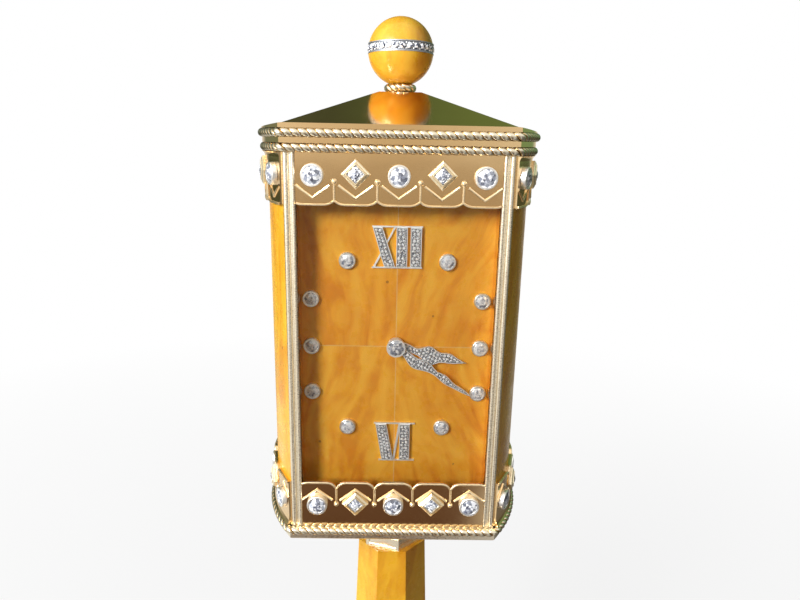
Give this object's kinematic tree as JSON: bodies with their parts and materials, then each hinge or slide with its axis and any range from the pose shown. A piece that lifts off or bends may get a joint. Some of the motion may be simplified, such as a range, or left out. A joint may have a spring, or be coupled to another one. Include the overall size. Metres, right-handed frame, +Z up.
{
  "type": "steeple clock",
  "caption": "Jewelled table clock: glazed gold case with bowed amber sides, pyramid roof and ball finial, on an octagonal amber column and stepped foot.",
  "frame": {"origin": "centre of the foot's underside, on the table", "axes": "+Z up along the column, -Y towards the viewer of the dial, +X to the viewer's right"},
  "size_m": [0.092, 0.092, 0.3137],
  "materials": {
    "gold": "polished yellow gold",
    "amber": "polished opaque honey amber",
    "dial_amber": "polished amber with soft swirls",
    "stones": "brilliant-cut clear stones",
    "pave": "white metal set with small stones",
    "glass": "clear polished",
    "steel": "brushed",
    "wheel_brass": "cut brass",
    "moulded": "fine moulded texture",
    "cell": "plain wrapped cell",
    "felt": "felt"
  },
  "bodies": {
    "clock_case": {"foot_pad": "felt", "foot_plate": "gold", "foot_plinth": "amber", "column_base": "gold", "column": "amber", "column_collar": "gold", "tie_rod": "steel", "tie_rod_nuts": "steel", "case_floor": "gold", "bottom_rope": "gold", "post_front_left": "gold", "post_front_right": "gold", "post_rear_left": "gold", "post_rear_right": "gold", "cornice": "gold", "lower_rope": "gold", "upper_rope": "gold", "roof": "gold", "finial_rope": "gold", "finial_ball_lower": "amber", "finial_ball_band": "pave", "finial_ball_upper": "amber", "finial_stud": "steel", "side_panel_left": "amber", "side_panel_right": "amber", "front_band_top": "gold", "front_band_bottom": "gold", "side_band_top_left": "gold", "side_band_top_right": "gold", "side_band_bottom_left": "gold", "side_band_bottom_right": "gold", "round_collets": "gold", "round_stones": "stones", "square_collets": "gold", "square_stones": "stones", "front_glass": "glass", "dial_frame": "gold", "dial_upper_left": "dial_amber", "dial_upper_right": "dial_amber", "dial_lower_left": "dial_amber", "dial_lower_right": "dial_amber", "dial_plate": "gold", "numeral_twelve": "pave", "numeral_six": "pave", "marker_collets": "gold", "marker_stones": "stones", "movement_case": "moulded", "movement_cover": "moulded", "battery": "cell", "battery_contacts": "steel", "hinge_pins": "steel"},
    "minute_hand_arbor": {"minute_arbor": "steel", "minute_hand": "pave", "hub_stone": "stones"},
    "setting_wheel": {"minute_wheel": "wheel_brass", "setting_knob": "moulded"},
    "hour_hand_wheel": {"hour_wheel": "wheel_brass", "hour_hand": "pave"},
    "door": {"rear_door": "gold", "door_knob": "gold"}
  },
  "joints": [
    {"name": "minute_hand_turn", "type": "hinge", "parent": "clock_case", "child": "minute_hand_arbor", "pos_m": [0, -0.02, 0.2206], "axis": [0, 1, 0], "continuous": true},
    {"name": "hour_hand_turn", "type": "hinge", "parent": "clock_case", "child": "hour_hand_wheel", "pos_m": [0, -0.02, 0.2206], "axis": [0, 1, 0], "continuous": true},
    {"name": "setting_knob_turn", "type": "hinge", "parent": "clock_case", "child": "setting_wheel", "pos_m": [0, -0.01, 0.2302], "axis": [0, 1, 0], "continuous": true},
    {"name": "rear_door_swing", "type": "hinge", "parent": "clock_case", "child": "door", "pos_m": [-0.0279, 0.02875, 0.22], "axis": [0, 0, 1], "range_deg": [0, 110]}
  ],
  "couplings": [
    {"joint": "hour_hand_turn", "follows": "minute_hand_turn", "ratio": 0.083333},
    {"joint": "setting_knob_turn", "follows": "minute_hand_turn", "ratio": -0.33333}
  ]
}
